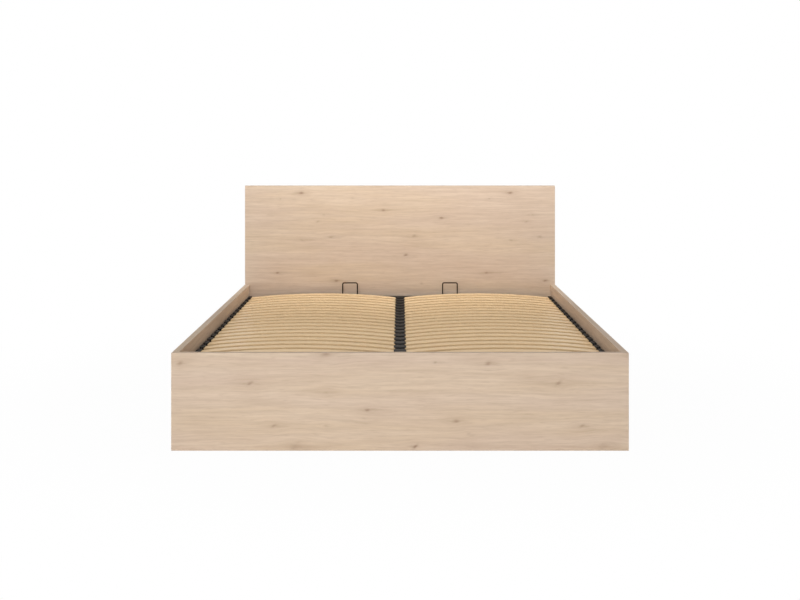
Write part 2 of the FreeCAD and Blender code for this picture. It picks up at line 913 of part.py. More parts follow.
def upper_corners(limit):
    """Picks the four upright corners and the two upper ends of a block."""

    def choose(edge):
        box = edge.BoundBox
        upright = along(UP)(edge)
        top = along(ACROSS)(edge) and box.ZMin > (limit - s.pick_margin).number
        return upright or top

    return choose


def centre_holder():
    body = new_body("centre_slat_holders")
    half = s.centre_tube / 2
    block = add_block(body, "block", (-half, -holderHalf, tubeTop), (half, holderHalf, holderTop))
    add_fillet(body, block, s.holder_round, upper_corners(holderTop))
    lipHalf = s.slat_width / 2 - s.holder_round
    lip = s.centre_holder_lip
    add_block(body, "lip", (-lip, -lipHalf, pocketHigh), (lip, lipHalf, holderTop - s.slat_round))
    webFace = s.holder_web / 2
    for name, low, high in (
        ("right_pocket", webFace, lip + s.cut_overrun),
        ("left_pocket", -lip - s.cut_overrun, -webFace),
    ):
        cut_block(body, name, (low, -pocketHalf, pocketLow), (high, pocketHalf, pocketHigh))
    return body


def side_holder():
    body = new_body("side_slat_holder")
    inner = halfWidth - s.side_holder_reach
    outer = halfWidth - s.frame_gap / 2
    block = add_block(body, "block", (inner, -holderHalf, tubeTop), (outer, holderHalf, holderTop))
    add_fillet(body, block, s.holder_round, upper_corners(holderTop))
    cut_block(
        body,
        "pocket",
        (inner - s.cut_overrun, -pocketHalf, pocketLow),
        (slatOuterEnd + s.holder_play, pocketHalf, pocketHigh),
    )
    return body


def row_of(source, label):
    """The same holder at every slat row."""
    places = [
        FreeCAD.Placement(V(0, float(firstRow + slatPitch * row), 0), FreeCAD.Rotation())
        for row in range(int(s.slat_rows.number))
    ]
    return placed_copies(label, source, places)


sideRow = row_of(side_holder(), "side_holder_row")
sideTwinRow = mirrored(sideRow, "side_holder_twin_row")
centreHolder = centre_holder()
centreHolder.Label = "centre_slat_holder"
centreRow = row_of(centreHolder, "centre_holder_row")
centreRow.Label = "centre_slat_holders"
keep(group("side_slat_holders", [sideRow, sideTwinRow]), centreRow)


# Mattress stops: bent wire hoops in plastic bushes on the head tube's raised rail.
def mattress_stop(label, side):
    body = new_body(label)
    path = new_sketch(body, "path", "XZ_Plane", stopY)
    half = s.stop_width / 2
    low = tubeTop + s.tube_wall + s.joint_gap
    top = stopRailTop + s.stop_rise
    centre = signed(s.stop_from_centre, side)
    bend = s.stop_bend
    left, right = centre - half, centre + half
    corners = [
        ((left, low), (left, top - bend)),
        ((left + bend, top), (right - bend, top)),
        ((right, top - bend), (right, low)),
    ]
    lines = []
    for start, end in corners:
        line = Part.LineSegment(V(*map(float, start), 0), V(*map(float, end), 0))
        index = path.addGeometry(line, False)
        pin_point(path, index, 1, start)
        pin_point(path, index, 2, end)
        lines.append(index)
    r = bend.number
    for centreX, first, second, angles in (
        (left + bend, lines[0], lines[1], (math.pi / 2, math.pi)),
        (right - bend, lines[1], lines[2], (0, math.pi / 2)),
    ):
        arc = Part.ArcOfCircle(Part.Circle(V(float(centreX), float(top - bend), 0), UP, r), *angles)
        index = path.addGeometry(arc, False)
        path.addConstraint(Sketcher.Constraint("Coincident", index, 2, first, 2))
        path.addConstraint(Sketcher.Constraint("Coincident", index, 1, second, 1))
        datum = path.addConstraint(Sketcher.Constraint("Radius", index, r))
        path.setExpression(f"Constraints[{datum}]", bend.formula)
    rod = new_sketch(body, "rod", "XY_Plane", low)
    add_circle(rod, (left, stopY), s.stop_rod_radius)
    pipe = body.newObject("PartDesign::AdditivePipe", f"{label}_pipe")
    pipe.Profile = rod
    pipe.Spine = path
    return body


for label, side in (("mattress_stop_left", -1), ("mattress_stop_right", 1)):
    keep(mattress_stop(label, side))

rodHole = s.stop_rod_radius + s.fit_gap
bush = turned(
    "stop_bush",
    [
        (rodHole, -s.bush_depth),
        (s.bush_radius, -s.bush_depth),
        (s.bush_radius, ZERO),
        (s.bush_flange_radius, ZERO),
        (s.bush_flange_radius, s.bush_flange_thick / 2),
        (rodHole + s.bush_flange_thick / 2, s.bush_flange_thick),
        (rodHole, s.bush_flange_thick),
    ],
)
keep(placed_copies("stop_bushes", bush, [facing((x, stopY, stopRailTop), UP) for x in stopLegs]))


# Lift mechanism: base plates, arms, frame bars, gas springs and their pins.
def lean(body, root, tip, x):
    """Turns a piece that lies along +Y from the origin so that it points from root to tip."""
    turn = FreeCAD.Rotation(ACROSS, angle_of(tip - root))
    body.Placement = FreeCAD.Placement(V(float(x), root.y, root.z), turn)


pinHole = s.pivot_radius + s.fit_gap
eyeRadius = s.arm_width / 2


def lift_plate():
    """Base plate on the rail: a low strip with a raised ear for the rear arm's pivot."""
    body = new_body("lift_plate_right")
    sketch = new_sketch(body, "outline", "YZ_Plane", plateFace)
    ear = s.arm_width
    low = s.spring_root_height - s.arm_width / 2
    strip = s.front_arm_root_height + s.arm_width / 2
    shoulder = s.rear_arm_root_height - s.plate_round
    earTop = s.rear_arm_root_height + s.arm_width / 2 + s.plate_round
    back = springRootY + s.arm_width * 2
    front = s.front_arm_root_y - s.arm_width * 2
    corners = [
        (back, low),
        (back, strip),
        (rearRootY + ear * 2, shoulder),
        (rearRootY + ear, earTop),
        (rearRootY - ear, earTop),
        (rearRootY - ear * 2, shoulder),
        (front, strip),
        (front, low),
    ]
    add_polygon(sketch, corners)
    pad = add_pad(body, sketch, s.plate_thick)
    add_fillet(body, pad, s.plate_round, along(ACROSS))
    holes = new_sketch(body, "holes", "YZ_Plane", plateFace)
    for place in plateBolts:
        add_circle(holes, place, s.plate_hole_radius)
    add_pocket(body, holes, s.plate_thick + s.cut_overrun)
    pivots = new_sketch(body, "pivots", "YZ_Plane", plateFace)
    add_circle(pivots, (rearRootY, s.rear_arm_root_height), pinHole)
    add_circle(pivots, (s.front_arm_root_y, s.front_arm_root_height), pinHole)
    add_circle(pivots, (springRootY, s.spring_root_height), pinHole)
    add_pocket(body, pivots, s.plate_thick + s.cut_overrun)
    return body


def strap(label, length):
    """A flat bar with round ends and two pivot holes, lying along +Y with its outer face at x = 0."""
    body = new_body(label)
    sketch = new_sketch(body, "outline", "YZ_Plane", -s.arm_thick)
    add_slot(sketch, length, eyeRadius)
    add_circle(sketch, (ZERO, ZERO), pinHole)
    return body, sketch


def rear_arm():
    body, sketch = strap("rear_arm_right", s.rear_arm_length)
    add_circle(sketch, (s.rear_arm_length, ZERO), pinHole)
    add_pad(body, sketch, s.arm_thick)
    lean(body, rearRoot, rearTip, rearArmOuter)
    return body


def front_arm():
    """The front arm carries its own half of the rivet that meets the frame bar."""
    body, sketch = strap("front_arm_right", s.front_arm_length)
    add_pad(body, sketch, s.arm_thick)
    boss = new_sketch(body, "boss", "YZ_Plane", ZERO)
    add_circle(boss, (s.front_arm_length, ZERO), s.pivot_head_radius)
    add_pad(body, boss, s.front_arm_gap / 2 - s.joint_gap / 2)
    head = new_sketch(body, "rivet_head", "YZ_Plane", -s.arm_thick - s.pivot_head_thick)
    add_circle(head, (s.front_arm_length, ZERO), s.pivot_head_radius)
    pad = add_pad(body, head, s.pivot_head_thick)

    def rim(edge):
        return edge.BoundBox.XMax < (s.pick_margin - s.arm_thick - s.pivot_head_thick).number

    add_fillet(body, pad, s.pivot_head_thick / 2, rim)
    lean(body, frontRoot, frontTip, frontArmOuter)
    return body


def frame_bar():
    """An angle bolted under the side tube; its leg holds the arms and the spring's stud."""
    body = new_body("frame_bar_right")
    sketch = new_sketch(body, "leg", "YZ_Plane", barInner)
    back = headFace - barBack
    front = headFace - barFront
    deep = frontArmTipHeight - s.arm_width / 2
    shallow = s.tube_bottom - s.arm_width
    add_polygon(
        sketch,
        [
            (back, s.tube_bottom),
            (back, shallow),
            (headFace - s.spring_tip_from_head + s.arm_width / 2, deep),
            (headFace - s.front_arm_tip_from_head - s.arm_width / 2, deep),
            (headFace - s.front_arm_tip_from_head - s.arm_width * 3 / 2, shallow),
            (front, shallow),
            (front, s.tube_bottom),
        ],
    )
    pad = add_pad(body, sketch, s.bar_thick)

    def lower(edge):
        return along(ACROSS)(edge) and edge.BoundBox.ZMax < (s.tube_bottom - s.pick_margin).number

    add_fillet(body, pad, s.plate_round / 2, lower)
    flange = new_sketch(body, "flange", "XZ_Plane", back)
    add_rectangle(
        flange, (barOuter - s.flange_width, s.tube_bottom - s.flange_thick), (barOuter, s.tube_bottom)
    )
    add_pad(body, flange, back - front)
    pivots = new_sketch(body, "pivots", "YZ_Plane", barInner)
    add_circle(pivots, (headFace - s.rear_arm_tip_from_head, rearArmTipHeight), pinHole)
    add_circle(pivots, (headFace - s.front_arm_tip_from_head, frontArmTipHeight), pinHole)
    add_circle(pivots, (headFace - s.spring_tip_from_head, springTipHeight), pinHole)
    add_pocket(body, pivots, s.bar_thick + s.cut_overrun)
    bolts = new_sketch(body, "bolts", "XY_Plane", s.tube_bottom)
    for y in barBolts:
        add_circle(bolts, (barBoltX, y), s.plate_hole_radius)
    add_pocket(body, bolts, s.flange_thick + s.cut_overrun)
    return body


def gas_spring_cylinder():
    """Pressure tube with a neck and an eye, lying along +Y with the eye round the origin."""
    body = new_body("gas_spring_cylinder_right")
    tubeEnd = s.spring_closed_length - s.socket_neck
    sketch = new_sketch(body, "section", "YZ_Plane")
    neckStart = s.socket_radius - s.fit_gap * 4
    add_polygon(
        sketch,
        [
            (neckStart, ZERO),
            (neckStart, s.socket_neck_radius),
            (s.socket_neck, s.socket_neck_radius),
            (s.socket_neck + s.socket_neck_radius, s.spring_radius),
            (tubeEnd - s.tube_wall, s.spring_radius),
            (tubeEnd, s.spring_radius - s.tube_wall),
            (tubeEnd, s.spring_rod_radius + s.fit_gap),
            (s.socket_neck * 2, s.spring_rod_radius + s.fit_gap),
            (s.socket_neck * 2, ZERO),
        ],
    )
    turn = body.newObject("PartDesign::Revolution", "cylinder_turn")
    turn.Profile = sketch
    turn.ReferenceAxis = (sketch, ["H_Axis"])
    turn.Angle = 360
    eye = new_sketch(body, "eye", "YZ_Plane", -s.socket_thick / 2)
    add_circle(eye, (ZERO, ZERO), s.socket_radius)
    add_circle(eye, (ZERO, ZERO), s.stud_radius + s.fit_gap)
    add_pad(body, eye, s.socket_thick)
    lean(body, springRoot, springTip, springAxis)
    return body


def gas_spring_rod():
    """Rod with a closed socket round the stud's end, lying along +Y from the spring's root."""
    body = new_body("gas_spring_rod_right")
    length = s.spring_closed_length
    sketch = new_sketch(body, "section", "YZ_Plane")
    rodStart = s.socket_neck * 2 + s.socket_neck
    add_polygon(
        sketch,
        [
            (rodStart, ZERO),
            (rodStart, s.spring_rod_radius),
            (length - s.socket_neck + s.tube_wall, s.spring_rod_radius),
            (length - s.socket_neck + s.tube_wall, s.socket_neck_radius),
            (length - s.socket_radius + s.fit_gap, s.socket_neck_radius),
            (length - s.socket_radius + s.fit_gap, ZERO),
        ],
    )
    turn = body.newObject("PartDesign::Revolution", "rod_turn")
    turn.Profile = sketch
    turn.ReferenceAxis = (sketch, ["H_Axis"])
    turn.Angle = 360
    socket = new_sketch(body, "socket", "YZ_Plane", -s.socket_thick / 2)
    add_circle(socket, (length, ZERO), s.socket_radius)
    add_pad(body, socket, s.socket_thick)
    lean(body, springRoot, springTip, springAxis)
    return body


for piece in (lift_plate(), rear_arm(), front_arm(), frame_bar(), gas_spring_cylinder(), gas_spring_rod()):
    keep(piece, mirrored(piece, piece.Label.replace("_right", "_left")))


# Pins and studs, each standing on its own z axis, which points from the rail inwards.
def pivot_pin(label, spans):
    """A turned pin from a list of (length, radius) steps, starting at z = 0."""
    outline = [(ZERO, ZERO)]
    level = ZERO
    for length, radius in spans:
        outline += [(radius, level), (radius, level + length)]
        level = level + length
    outline.append((ZERO, level))
    return turned(label, outline)


rearPin = pivot_pin(
    "rear_root_pin",
    [
        (s.plate_thick + s.arm_gap + s.arm_thick + s.bar_gap, s.pivot_radius),
        (s.pivot_head_thick, s.pivot_head_radius),
    ],
)
frontPin = pivot_pin(
    "front_root_pin",
    [
        (s.plate_thick, s.pivot_radius),
        (plateFace - frontArmOuter - s.joint_gap, s.spacer_radius),
        (s.arm_thick + s.joint_gap * 2, s.pivot_radius),
        (s.pivot_head_thick, s.pivot_head_radius),
    ],
)
socketOuter = springAxis + s.socket_thick / 2
springRootStud = pivot_pin(
    "spring_root_stud",
    [
        (s.plate_thick, s.pivot_radius),
        (plateFace - socketOuter - s.joint_gap, s.stud_shoulder_radius),
        (s.socket_thick + s.joint_gap * 2, s.stud_radius),
        (s.stud_head_thick, s.stud_head_radius),
    ],
)
rearTipPin = pivot_pin(
    "rear_tip_pin",
    [
        (s.pivot_head_thick, s.pivot_head_radius),
        (s.arm_thick + s.bar_gap * 2 + s.bar_thick, s.pivot_radius),
    ],
)
frontTipPin = pivot_pin(
    "front_tip_pin",
    [(s.bar_thick, s.pivot_radius), (s.front_arm_gap / 2 - s.joint_gap / 2, s.pivot_head_radius)],
)
springTipStud = pivot_pin(
    "spring_tip_stud",
    [(s.bar_thick, s.pivot_radius), (barInner - socketOuter - s.joint_gap, s.stud_shoulder_radius)],
)


def on_both_sides(x, point):
    """Placements at a pivot on the right and the left, with the pin's own z pointing inwards."""
    return [facing((signed(x, side), point.y, point.z), V(-side, 0, 0)) for side in (1, -1)]


def pin_group(label, pins):
    pairs = [(pin, place) for pin, x, point in pins for place in on_both_sides(x, point)]
    return placed_group(label, pairs)


keep(
    pin_group(
        "lift_plate_pins",
        [
            (rearPin, railFace, rearRoot),
            (frontPin, railFace, frontRoot),
            (springRootStud, railFace, springRoot),
        ],
    ),
    pin_group(
        "frame_bar_pins",
        [
            (rearTipPin, rearArmOuter + s.bar_gap + s.pivot_head_thick, rearTip),
            (frontTipPin, barOuter, frontTip),
            (springTipStud, barOuter, springTip),
        ],
    ),
)

plateBolt = screw("plate_bolt", s.bolt_radius, s.bolt_depth, s.bolt_head_radius, s.bolt_head_thick)
boltPlaces = [
    facing((signed(plateFace, side), y, z), V(-side, 0, 0)) for side in (-1, 1) for y, z in plateBolts
]
keep(placed_copies("lift_plate_bolts", plateBolt, boltPlaces))
barBolt = screw("bar_bolt", s.bolt_radius, s.bar_bolt_depth, s.bolt_head_radius, s.bolt_head_thick)
flangeFace = s.tube_bottom - s.flange_thick
barBoltPlaces = [
    facing((signed(barBoltX, side), y, flangeFace), V(0, 0, -1)) for side in (-1, 1) for y in barBolts
]
keep(placed_copies("frame_bar_bolts", barBolt, barBoltPlaces))

document.recompute()
for item in document.Objects:
    if "Invalid" in item.State or "Error" in item.State:
        raise RuntimeError(f"{item.Label} failed: {item.State}")
for piece in nodes:
    if piece.Shape.isNull() or not piece.Shape.isValid():
        raise RuntimeError(f"{piece.Label} has no valid shape")

os.makedirs("parts", exist_ok=True)
for piece in nodes:
    piece.Shape.exportStep(f"parts/{piece.Label}.step")
print(f"{len(nodes)} nodes")
for name, point in (
    ("rear arm root", rearRoot),
    ("rear arm tip", rearTip),
    ("front arm root", frontRoot),
    ("front arm tip", frontTip),
    ("spring root", springRoot),
    ("spring tip", springTip),
):
    print(f"{name} y {point.y:.4f} z {point.z:.4f}")
print(f"turns: rear arm {armTurn}, frame against arm {armTurn + frameTilt}, front arm {frontTurn:.6f}")
print(f"spring turn {springTurn:.6f}, length {closedLength:.4f} to {openLength:.4f}")
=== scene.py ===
import bpy
import math
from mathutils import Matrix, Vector


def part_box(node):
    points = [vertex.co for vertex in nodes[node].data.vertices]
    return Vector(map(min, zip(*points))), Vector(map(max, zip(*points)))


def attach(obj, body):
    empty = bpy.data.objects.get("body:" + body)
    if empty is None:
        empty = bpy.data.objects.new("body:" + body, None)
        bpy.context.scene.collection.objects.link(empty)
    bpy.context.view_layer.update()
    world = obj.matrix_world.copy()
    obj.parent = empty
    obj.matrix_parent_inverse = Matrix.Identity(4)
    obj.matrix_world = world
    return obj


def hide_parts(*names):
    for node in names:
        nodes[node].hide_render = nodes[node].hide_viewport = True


# Lift-up storage bed, seen level from the foot end. Metres; +Y points to the headboard.
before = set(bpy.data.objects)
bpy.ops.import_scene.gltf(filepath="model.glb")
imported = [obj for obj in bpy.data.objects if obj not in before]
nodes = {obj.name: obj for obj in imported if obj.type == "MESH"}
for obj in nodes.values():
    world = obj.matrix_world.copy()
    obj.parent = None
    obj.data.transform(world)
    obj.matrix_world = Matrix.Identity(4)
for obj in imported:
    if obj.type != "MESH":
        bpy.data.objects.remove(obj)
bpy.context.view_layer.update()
print("frame loaded:", len(nodes), "nodes")


# Colours are written as they look on a screen, 0 to 255, and turned into light values by the sRGB curve.
def tint(red, green, blue):
    def light(level):
        return ((level / 255 + 0.055) / 1.055) ** 2.4 if level > 10 else level / 255 / 12.92

    return (light(red), light(green), light(blue), 1)


class Wire:
    # one output of a node, so that 1 - mask or noise * 0.5 adds the Math node by itself
    def __init__(self, plan, socket):
        self.plan = plan
        self.socket = socket

    def maths(self, operation, first, second=0.0):
        return self.plan.node("ShaderNodeMath", {"operation": operation}, {0: first, 1: second})

    def __add__(self, other):
        return self.maths("ADD", self, other)

    def __radd__(self, other):
        return self.maths("ADD", other, self)

    def __sub__(self, other):
        return self.maths("SUBTRACT", self, other)

    def __rsub__(self, other):
        return self.maths("SUBTRACT", other, self)

    def __mul__(self, other):
        return self.maths("MULTIPLY", self, other)

    def __rmul__(self, other):
        return self.maths("MULTIPLY", other, self)

    def __truediv__(self, other):
        return self.maths("DIVIDE", self, other)

    def __pow__(self, other):
        return self.maths("POWER", self, other)

    def __rpow__(self, other):
        return self.maths("POWER", other, self)

    def __mod__(self, other):
        return self.maths("FLOORED_MODULO", self, other)

    def __abs__(self):
        return self.maths("ABSOLUTE", self)

    def __gt__(self, other):
        return self.maths("GREATER_THAN", self, other)


class NodePlan:
    # a node tree, of a material or of the world, that grows by wires
    def __init__(self, tree):
        self.tree = tree

    def node(self, kind, settings=None, inputs=None, output=0):
        made = self.tree.nodes.new(kind)
        for name, value in (settings or {}).items():
            setattr(made, name, value)
        for name, value in (inputs or {}).items():
            self.feed(made.inputs[name], value)
        return Wire(self, made.outputs[output])

    def feed(self, socket, value):
        if isinstance(value, Wire):
            self.tree.links.new(value.socket, socket)
        else:
            socket.default_value = value

    def seenStraight(self):
        # 1 for the rays that show this thing itself, 0 for the light that it gives to others
        kinds = ("Camera", "Glossy", "Transmission")
        rays = [self.node("ShaderNodeLightPath", output=f"Is {kind} Ray") for kind in kinds]
        return rays[0] + rays[1] + rays[2]


class Finish(NodePlan):
    # a material with one shader whose pattern is built up from wires
    def __init__(self, name, **constants):
        self.material = bpy.data.materials.new(name)
        self.material.use_nodes = True
        super().__init__(self.material.node_tree)
        self.surface = self.tree.nodes["Principled BSDF"]
        self.shine(**constants)

    def shine(self, **values):
        # baseColor, roughness, coatRoughness and so on, to the shader's own sockets
        for name, value in values.items():
            words = "".join(" " + letter if letter.isupper() else letter for letter in name).title()
            self.feed(self.surface.inputs[words.replace("Ior", "IOR")], value)

    def place(self):
        where = self.node("ShaderNodeTexCoord", output="Object")
        return [self.node("ShaderNodeSeparateXYZ", inputs={0: where}, output=axis) for axis in range(3)]

    def facing(self):
        # how far the surface faces along X, Y and Z, either way
        normal = self.node("ShaderNodeTexCoord", output="Normal")
        return [abs(self.node("ShaderNodeSeparateXYZ", inputs={0: normal}, output=axis)) for axis in range(3)]

    def vector(self, x, y, z=0.0):
        return self.node("ShaderNodeCombineXYZ", inputs={0: x, 1: y, 2: z})

    def noise(self, vector, scale=1.0, detail=2.0, roughness=0.5):
        sizes = {"Vector": vector, "Scale": scale, "Detail": detail, "Roughness": roughness}
        return self.node("ShaderNodeTexNoise", inputs=sizes)

    def spread(self, value, low, high, start=0.0, end=1.0, smooth=True):
        # value from low..high to start..end, held at both ends
        kind = "SMOOTHSTEP" if smooth else "LINEAR"
        limits = {0: value, 1: low, 2: high, 3: start, 4: end}
        return self.node("ShaderNodeMapRange", {"interpolation_type": kind, "clamp": True}, limits)

    def mix(self, share, first, second):
        colours = {0: share, 6: first, 7: second}
        return self.node("ShaderNodeMix", {"data_type": "RGBA"}, colours, output=2)

    def pick(self, share, first, second):
        # one of two numbers, by a share of 0 to 1
        return first + (second - first) * share

    def bell(self, squareU, squareV, width, height):
        # 1 in the middle of a soft ellipse, falling to 0 outside; 2.718 is near enough to e
        return 2.718 ** (squareU * (-1 / width ** 2) - squareV * (1 / height ** 2))

    def bump(self, height, strength, distance):
        relief = {"Strength": strength, "Distance": distance, "Height": height}
        self.shine(normal=self.node("ShaderNodeBump", inputs=relief))


# Laminate with an oak print: soft zones of colour, fine streaks along the grain and small knots, and painted
# shade that darkens the top faces
laminate = {
    "repeat": 1.118,  # the print starts again after this length
    "beige": tint(215, 193, 168),
    "pink": tint(212, 190, 170),
    "pale": tint(226, 207, 187),
    "streak": tint(184, 159, 136),
    "knot": tint(136, 105, 84),
    "band": tint(160, 142, 124),  # painted shade that darkens the top faces
    "roughness": 0.6,
    "faces": 0.7,  # a surface that looks along an axis more than this is an end or a top
    "wave": (1.1, 2.5, 0.03),  # stretch along and across the grain, and its height
    "relief": {"fibres": 0.6, "dashes": 0.4},
}
laminateLayers = {  # stretch along and across, seed, detail, roughness, then from, to, share, colour
    "zones": (0.8, 7, 7, 2.0, 0.5, 0.40, 0.60, 1.0, "pink"),
    "bands": (1.4, 26, 0, 3.0, 0.6, 0.35, 0.7, 0.5, "pale"),
    "streaks": (5, 90, 3, 3.0, 0.7, 0.28, 0.75, 0.46, "streak"),
    "dashes": (18, 170, 5, 2.0, 0.6, 0.52, 0.74, 0.3, "streak"),
    "fibres": (30, 700, 0, 2.0, 0.6, 0.5, 0.8, 0.15, "streak"),
}
knotShape = {  # lengths and heights are shares of the knot's radius
    "raggedStretch": (45, 110),
    "ragged": 0.9,
    "aroundLength": 5,
    "aroundHeight": 2.4,
    "coreHeight": 0.62,
    "streakHeight": 0.5,
    "streakPlace": 0.4,  # a share of the streak's length
    "pushAside": -0.55,
    "coreDark": 0.52,
    "streakDark": 0.3,
    "aroundDark": 0.12,
}
headboardKnots = [  # place from the middle, height, radius, length of its streak, depth of colour, slope
    (-0.528, 0.845, 0.011, -0.030, 0.85, 0.1),
    (-0.253, 0.818, 0.008, 0.030, 0.25, 0.0),
    (-0.640, 0.813, 0.005, 0.110, 0.50, 0.03),
    (-0.089, 0.752, 0.008, 0.058, 0.75, 0.04),
    (-0.407, 0.728, 0.007, 0.040, 0.32, 0.0),
    (0.221, 0.711, 0.010, 0.025, 0.85, 0.1),
    (-0.441, 0.691, 0.009, 0.020, 0.36, 0.5),
    (0.0746, 0.6145, 0.011, 0.025, 0.50, 0.2),
    (-0.369, 0.609, 0.012, 0.055, 0.45, 0.1),
    (-0.525, 0.592, 0.010, 0.050, 0.30, -0.3),
    (0.0293, 0.5125, 0.009, 0.015, 0.90, 0.2),
    (-0.656, 0.4176, 0.008, 0.065, 0.80, 0.0),
    (-0.341, 0.3755, 0.009, 0.020, 0.75, 0.1),
    (0.1146, 0.360, 0.009, 0.020, 0.32, 0.0),
]
footboardKnots = [
    (-0.799, 0.3166, 0.011, 0.020, 0.60, 0.35),
    (-0.268, 0.352, 0.016, -0.030, 0.55, 0.25),
    (0.1276, 0.320, 0.006, 0.085, 0.50, 0.08),
    (-0.544, 0.2445, 0.011, -0.060, 0.65, 0.45),
    (-0.268, 0.211, 0.009, 0.040, 0.22, 0.0),
    (-0.119, 0.1487, 0.008, 0.050, 0.75, 0.0),
    (-0.130, 0.117, 0.008, 0.060, 0.22, -0.1),
    (0.205, 0.1078, 0.010, -0.040, 0.62, 0.1),
    (-0.458, 0.090, 0.009, 0.020, 0.50, 0.5),
    (-0.268, 0.090, 0.009, 0.020, 0.30, 0.0),
    (0.250, 0.060, 0.009, 0.030, 0.25, 0.0),
    (-0.382, 0.0147, 0.018, 0.060, 0.35, 0.2),
    (0.056, 0.0157, 0.009, -0.020, 0.85, 0.6),
]
railKnots = [
    (-0.410, 0.210, 0.010, 0.060, 0.60, 0.1),
    (0.130, 0.300, 0.009, -0.040, 0.55, 0.2),
    (0.420, 0.120, 0.010, 0.050, 0.60, 0.0),
]


def laminateFinish(name, grainAxis, knots, seed, band):
    finish = Finish(name, roughness=laminate["roughness"], specularIorLevel=0.12)
    x, y, z = finish.place()
    facesX, facesY, facesZ = finish.facing()
    if grainAxis == "X":
        endFace, long, thick = facesX > laminate["faces"], x, y
    else:
        endFace, long, thick = facesY > laminate["faces"], y, x
    onTop = facesZ > laminate["faces"]
    along = finish.pick(endFace, long, z)
    across = finish.pick(endFace, finish.pick(onTop, z, thick + seed), thick + seed * 2)
    face = (1 - endFace) * (1 - onTop)
    # knots push the grain aside and darken it, each with a streak to one side
    raggedAlong, raggedAcross = knotShape["raggedStretch"]
    ragged = finish.noise(finish.vector(along * raggedAlong, across * raggedAcross, seed)) - 0.5
    lift = 0.0
    dark = 0.0
    half = laminate["repeat"] / 2
    for knotPlace, knotHeight, radius, streak, depth, slope in knots:
        u = (along - knotPlace + half) % laminate["repeat"] - half
        v = across - knotHeight + ragged * (radius * knotShape["ragged"])
        tilted = v - u * slope
        aside = u - streak * knotShape["streakPlace"]
        squareU = u * u
        squareV = v * v
        aroundLength, aroundHeight = radius * knotShape["aroundLength"], radius * knotShape["aroundHeight"]
        around = finish.bell(squareU, squareV, aroundLength, aroundHeight)
        core = finish.bell(squareU, tilted * tilted, radius, radius * knotShape["coreHeight"])
        trail = finish.bell(aside * aside, squareV, streak, radius * knotShape["streakHeight"])
        lift = v * around * knotShape["pushAside"] + lift
        stain = core * (depth * knotShape["coreDark"]) + trail * (depth * knotShape["streakDark"])
        dark = stain + around * (depth * knotShape["aroundDark"]) + dark
    lift = lift * face
    dark = dark * face
    waveAlong, waveAcross, waveHeight = laminate["wave"]
    wave = finish.noise(finish.vector(along * waveAlong, across * waveAcross, seed))
    flow = across + lift + (wave - 0.5) * waveHeight
    colour = laminate["beige"]
    layers = {}
    for layer, (alongStretch, acrossStretch, own, detail, rough, *tone) in laminateLayers.items():
        place = finish.vector(along * alongStretch, flow * acrossStretch, seed + own)
        layers[layer] = finish.noise(place, 1.0, detail, rough)
        low, high, share, over = tone
        colour = finish.mix(finish.spread(layers[layer], low, high, 0, share), colour, laminate[over])
    colour = finish.mix(finish.spread(dark, 0.0, 1.0, smooth=False), colour, laminate["knot"])
    # painted shade: the top faces are mixed towards a darker colour, by each board's share
    colour = finish.mix(onTop * band, colour, laminate["band"])
    finish.shine(baseColor=colour)
    relief = laminate["relief"]
    finish.bump(layers["fibres"] * relief["fibres"] + layers["dashes"] * relief["dashes"], 0.12, 0.0002)
    return finish.material


# the last number is each board's share of painted shade on its top faces, most on the headboard
boardFinishes = {
    "headboard": laminateFinish("laminateHeadboard", "X", headboardKnots, 0.0, 0.8),
    "footboard": laminateFinish("laminateFootboard", "X", footboardKnots, 3.1, 0.1),
    "side_rail_left": laminateFinish("laminateRailLeft", "Y", railKnots, 5.7, 0.1),
    "side_rail_right": laminateFinish("laminateRailRight", "Y", railKnots, 8.3, 0.1),
}
print("laminate ready")


# Slats of glued veneers, pale on top and striped along their edges
slatWood = {
    "pale": tint(252, 219, 171),
    "warm": tint(244, 208, 158),
    "dark": tint(231, 193, 145),
    "edge": tint(253, 219, 169),
    "glue": tint(234, 196, 145),
    "veneers": 6,
    "roughness": 0.42,
}
slatPlan = {"innerEnd": 0.010, "thick": 0.008, "edgeRound": 0.0012, "steps": 28}


def slatBow():
    # the first row's box, the half and middle of one slat's length, and its rise and radius
    low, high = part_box("slat_row_01")
    half = (high.x - slatPlan["innerEnd"]) / 2
    middle = (high.x + slatPlan["innerEnd"]) / 2
    rise = high.z - low.z - slatPlan["thick"]
    return low, high, half, middle, rise, (half * half + rise * rise) / (2 * rise)


